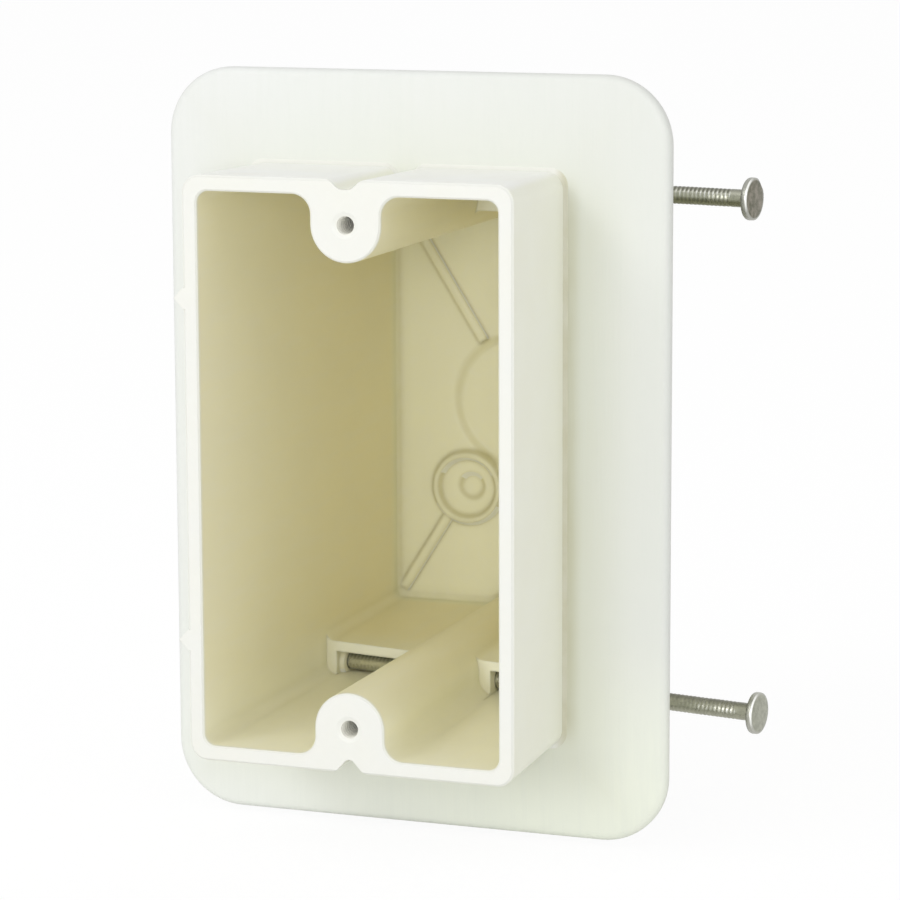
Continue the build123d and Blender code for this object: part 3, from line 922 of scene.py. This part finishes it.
def dent(mesh, seed, flat_reach):
    """Makes a turned nail a little uneven, only ever inwards, with one flat on its head."""
    for vert in mesh.verts:
        radius = math.hypot(vert.co.x, vert.co.y)
        if radius < DENT_CLEAR_RADIUS:
            continue
        towards = (vert.co.x * HEAD_FLAT[0] + vert.co.y * HEAD_FLAT[1]) / radius
        if towards > 0 and radius * towards > flat_reach:
            vert.co.x *= flat_reach / (radius * towards)
            vert.co.y *= flat_reach / (radius * towards)
            radius = flat_reach / towards
        coarse = noise.noise(vert.co * COARSE_DENT_SCALE + Vector((seed, 0, 0)))
        fine = noise.noise(vert.co * FINE_DENT_SCALE + Vector((0, seed, 0)))
        inwards = COARSE_DENT * (coarse + 1) + FINE_DENT * (fine + 1)
        vert.co.x *= 1 - inwards / radius
        vert.co.y *= 1 - inwards / radius


def nail_place(side):
    """Carries a nail from the Z axis to its line through the box."""
    aim = Vector((math.cos(NAIL_RAKE), -math.sin(NAIL_RAKE), 0))
    turn = aim.to_track_quat("Z", "Y").to_matrix().to_4x4()
    return Matrix.Translation((0, NAIL_DEPTH, side * NAIL_LEVEL)) @ turn


def make_nail(which, material):
    """One nail, with its grip marks and its struck head."""
    side = SIDES[which]
    top = NAIL_REACH[which] / math.cos(NAIL_RAKE)
    mesh = spin_profile(nail_profile(top), NAIL_SEGMENTS)
    dent(mesh, DENT_SEED * side, HEAD_FLAT_REACH[which])
    bmesh.ops.transform(mesh, matrix=nail_place(side), verts=mesh.verts)
    piece = finish_piece(mesh, "drawn_nail_" + which, material, NAIL_SMOOTH_ANGLE)
    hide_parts("nail_" + which)


def make_thread(which, material):
    """The cut thread on the wall of one device-screw hole."""
    mesh = bmesh.new()
    root = BORE_RADIUS + THREAD_ROOT_OVERLAP
    half = 0.5 * THREAD_PITCH - THREAD_FLAT
    section = [
        (root, -half),
        (THREAD_CREST, -0.5 * THREAD_FLAT),
        (THREAD_CREST, 0.5 * THREAD_FLAT),
        (root, half),
    ]
    verts = [mesh.verts.new((radius, along, 0)) for radius, along in section]
    start = mesh.faces.new(verts)
    bmesh.ops.spin(
        mesh, geom=[start], cent=(0, 0, 0), axis=(0, 1, 0),
        dvec=(0, THREAD_PITCH / THREAD_STEPS, 0), angle=2 * math.pi * THREAD_TURNS,
        steps=THREAD_TURNS * THREAD_STEPS, use_merge=False,
    )
    start_place = Matrix.Translation((0, THREAD_START + half, SIDES[which] * SCREW_LEVEL))
    bmesh.ops.transform(mesh, matrix=start_place, verts=mesh.verts)
    piece = finish_piece(mesh, "screw_thread_" + which, material)


def is_hole_corner(edge):
    """True for the sharp edges of the flange's front face, which all lie round its hole."""
    in_front = all(abs(vert.co.y - FLANGE_FRONT) < SAME_PLACE for vert in edge.verts)
    return in_front and edge.calc_face_angle(0) > BEAD_CORNER


def flange_hole(mesh):
    """Leaves of the flange only the outline of its hole at the front, and gives its parts."""
    bmesh.ops.remove_doubles(mesh, verts=mesh.verts, dist=MERGE_DISTANCE)
    outline = [edge for edge in mesh.edges if is_hole_corner(edge)]
    bmesh.ops.delete(mesh, geom=mesh.faces[:], context="FACES_ONLY")
    bmesh.ops.delete(mesh, geom=[edge for edge in mesh.edges if edge not in outline], context="EDGES")
    bmesh.ops.delete(mesh, geom=[vert for vert in mesh.verts if not vert.link_edges], context="VERTS")
    return mesh.verts[:] + mesh.edges[:]


def only(parts, kind):
    """The parts of one kind, vertices or edges, out of a mixed list."""
    return [part for part in parts if isinstance(part, kind)]


def make_seal_bead(material):
    """The thin bead of sealant in the corner between flange and box."""
    mesh = bmesh.new()
    mesh.from_mesh(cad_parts["sealing_flange"].data)
    outline = flange_hole(mesh)
    loops = []
    for out, front in BEAD_SECTION:
        copy = bmesh.ops.duplicate(mesh, geom=outline)["geom"]
        verts = only(copy, bmesh.types.BMVert)
        grow = (1 + out * BEAD_RADIUS / BOX_HALF_WIDTH, 1, 1 + out * BEAD_RADIUS / BOX_HALF_HEIGHT)
        bmesh.ops.scale(mesh, vec=grow, verts=verts)
        bmesh.ops.translate(mesh, vec=(0, -front * BEAD_RADIUS, 0), verts=verts)
        loops.append(only(copy, bmesh.types.BMEdge))
    bmesh.ops.delete(mesh, geom=only(outline, bmesh.types.BMVert), context="VERTS")
    for loop, following in zip(loops, loops[1:] + loops[:1]):
        bmesh.ops.bridge_loops(mesh, edges=loop + following)
    piece = finish_piece(mesh, "seal_bead", material, BEAD_SMOOTH_ANGLE)


def dress_node(name, material):
    """Gives a solid from the model its finish."""
    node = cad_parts[name]
    for slot in node.material_slots:
        slot.material = material


def camera_axes():
    """The camera's right, down and forward directions, from its yaw, pitch and roll."""
    right = Vector((math.cos(CAMERA_YAW), math.sin(CAMERA_YAW), 0))
    level = Vector((-math.sin(CAMERA_YAW), math.cos(CAMERA_YAW), 0))
    down = Vector((0, 0, -1))
    forward = level * math.cos(CAMERA_PITCH) + down * math.sin(CAMERA_PITCH)
    below = down * math.cos(CAMERA_PITCH) - level * math.sin(CAMERA_PITCH)
    turned_right = right * math.cos(CAMERA_ROLL) + below * math.sin(CAMERA_ROLL)
    turned_down = below * math.cos(CAMERA_ROLL) - right * math.sin(CAMERA_ROLL)
    return turned_right, turned_down, forward


def make_camera():
    """The camera, at the photograph's place and angle."""
    data = bpy.data.cameras.new("camera")
    data.sensor_width = SENSOR_WIDTH
    data.sensor_fit = "HORIZONTAL"
    data.lens = FOCAL_PIXELS * SENSOR_WIDTH / PICTURE_PIXELS
    data.clip_start = CAMERA_NEAREST
    data.clip_end = CAMERA_FARTHEST
    camera = bpy.data.objects.new("camera", data)
    right, below, forward = camera_axes()
    turn = Matrix((right, -below, -forward)).transposed().to_4x4()
    camera.matrix_world = Matrix.Translation(CAMERA_PLACE) @ turn
    bpy.context.collection.objects.link(camera)
    bpy.context.scene.camera = camera


def seen_ray(nodes, links):
    """1 for what the camera sees, straight or in a reflection, and 0 for light on surfaces."""
    path = nodes.new("ShaderNodeLightPath")
    seen = maths(nodes, links, "ADD", path.outputs["Is Camera Ray"], path.outputs["Is Glossy Ray"])
    return maths(nodes, links, "ADD", seen, path.outputs["Is Transmission Ray"], clamp=True)


def make_world():
    """An even pale surround that lights the box, and is white where it is seen."""
    world = bpy.data.worlds.new("surround")
    bpy.context.scene.world = world
    world.use_nodes = True
    nodes, links = world.node_tree.nodes, world.node_tree.links
    background = nodes["Background"]
    background.inputs["Color"].default_value = (1, 1, 1, 1)
    seen = seen_ray(nodes, links)
    strength = remap(nodes, links, seen, 0, 1, AMBIENT, SEEN_WHITE)
    links.new(strength, background.inputs["Strength"])


def floor_material():
    """White floor; where it is seen it is partly plain white, so its shadow stays soft."""
    material, nodes, links, surface = new_material("studio_floor")
    surface.inputs["Base Color"].default_value = FLOOR_WHITE
    surface.inputs["Roughness"].default_value = FLOOR_ROUGHNESS
    surface.inputs["Specular IOR Level"].default_value = 0.0
    glow = nodes.new("ShaderNodeEmission")
    glow.inputs["Strength"].default_value = FLOOR_GLOW_LEVEL
    mix = nodes.new("ShaderNodeMixShader")
    seen = seen_ray(nodes, links)
    links.new(product(nodes, links, seen, FLOOR_SEEN_GLOW), mix.inputs[0])
    links.new(surface.outputs[0], mix.inputs[1])
    links.new(glow.outputs[0], mix.inputs[2])
    links.new(mix.outputs[0], nodes["Material Output"].inputs["Surface"])
    return material


def make_floor():
    """The plain floor below the box."""
    mesh = bmesh.new()
    bmesh.ops.create_grid(mesh, x_segments=1, y_segments=1, size=FLOOR_SIZE / 2)
    bmesh.ops.translate(mesh, verts=mesh.verts, vec=(0, 0, FLOOR_LEVEL))
    data = bpy.data.meshes.new("studio_floor")
    mesh.to_mesh(data)
    mesh.free()
    floor = bpy.data.objects.new("studio_floor", data)
    bpy.context.collection.objects.link(floor)
    data.materials.append(floor_material())


def make_lamp(name, place, size, power):
    """One broad soft lamp that points at the box."""
    data = bpy.data.lights.new(name, "AREA")
    data.shape = "SQUARE"
    data.size = size
    data.energy = power
    lamp = bpy.data.objects.new(name, data)
    turn = (-Vector(place)).to_track_quat("-Z", "Y").to_matrix().to_4x4()
    lamp.matrix_world = Matrix.Translation(place) @ turn
    bpy.context.collection.objects.link(lamp)


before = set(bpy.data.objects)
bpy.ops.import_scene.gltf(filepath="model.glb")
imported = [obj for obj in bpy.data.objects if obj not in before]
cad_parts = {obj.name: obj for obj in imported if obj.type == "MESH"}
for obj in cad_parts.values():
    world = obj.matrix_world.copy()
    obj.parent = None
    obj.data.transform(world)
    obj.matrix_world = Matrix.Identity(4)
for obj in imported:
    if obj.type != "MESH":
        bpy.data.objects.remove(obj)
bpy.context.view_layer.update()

grain_group = make_grain_group()
scuff_group = make_scuff_group()
edge_group = make_edge_group()
moulding = ivory_fibreglass(grain_group, scuff_group, edge_group)
sheet = white_flange(grain_group, scuff_group, edge_group)
bead = sealant(grain_group)

dress_node("box_body", moulding)
dress_node("sealing_flange", sheet)
for which in ("upper", "lower"):
    make_nail(which, nail_steel(which, grain_group, edge_group))
    make_thread(which, moulding)

make_seal_bead(bead)

make_camera()
make_world()
make_floor()
for lamp_name, lamp_values in LAMPS.items():
    make_lamp(lamp_name, **lamp_values)
bpy.context.scene.view_settings.view_transform = "Standard"
